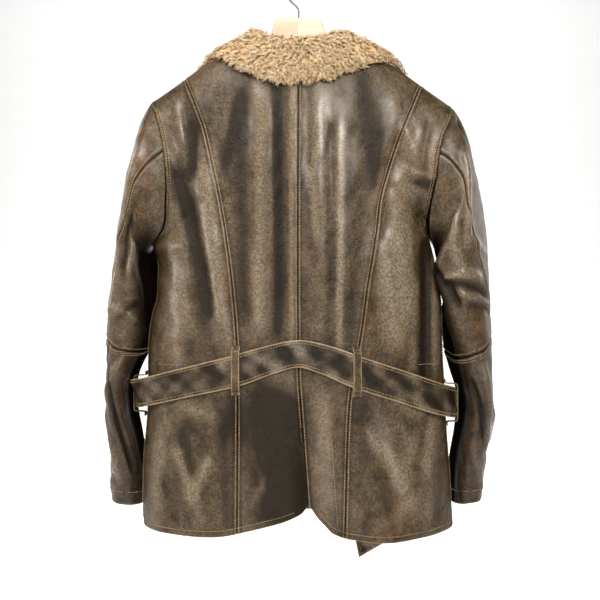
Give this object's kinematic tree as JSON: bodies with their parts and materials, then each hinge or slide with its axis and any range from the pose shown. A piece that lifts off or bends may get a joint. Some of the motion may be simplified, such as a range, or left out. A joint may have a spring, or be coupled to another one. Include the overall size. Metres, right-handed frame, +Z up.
{
  "type": "worn leather coat on a wooden hanger",
  "caption": "Hip-long coat of worn brown leather with a tan fur collar and a loose belt, hung on a wooden hanger.",
  "frame": {"origin": "inside top of the hanger hook, where the rail bears", "axes": "+Z up, +Y towards the back of the coat, +X towards the wearer's left"},
  "size_m": [0.6063, 0.2102, 0.9337],
  "materials": {
    "coat_leather": "distressed, waxy sheen, worn lighter on folds and edges",
    "belt_leather": "distressed, darker and glossier, raw tan edges",
    "collar_fur": "imitation fur with pale tips",
    "button_horn": "dark horn, satin",
    "hanger_wood": "sanded beech, satin varnish",
    "hook_steel": "bent bright wire"
  },
  "bodies": {
    "root": {"back_left_centre": "coat_leather", "back_right_centre": "coat_leather", "back_left_side": "coat_leather", "back_right_side": "coat_leather", "front_left": "coat_leather", "front_right": "coat_leather", "top_sleeve_left": "coat_leather", "top_sleeve_right": "coat_leather", "under_sleeve_left": "coat_leather", "under_sleeve_right": "coat_leather", "lower_sleeve_left": "coat_leather", "lower_sleeve_right": "coat_leather", "fur_collar": "collar_fur", "belt": "belt_leather", "belt_loop_back_left": "belt_leather", "belt_loop_back_right": "belt_leather", "belt_loop_side_left": "belt_leather", "belt_loop_side_right": "belt_leather", "button_1": "button_horn", "button_2": "button_horn", "button_3": "button_horn", "hanger_left": "hanger_wood", "hanger_right": "hanger_wood", "hook": "hook_steel"}
  },
  "joints": []
}
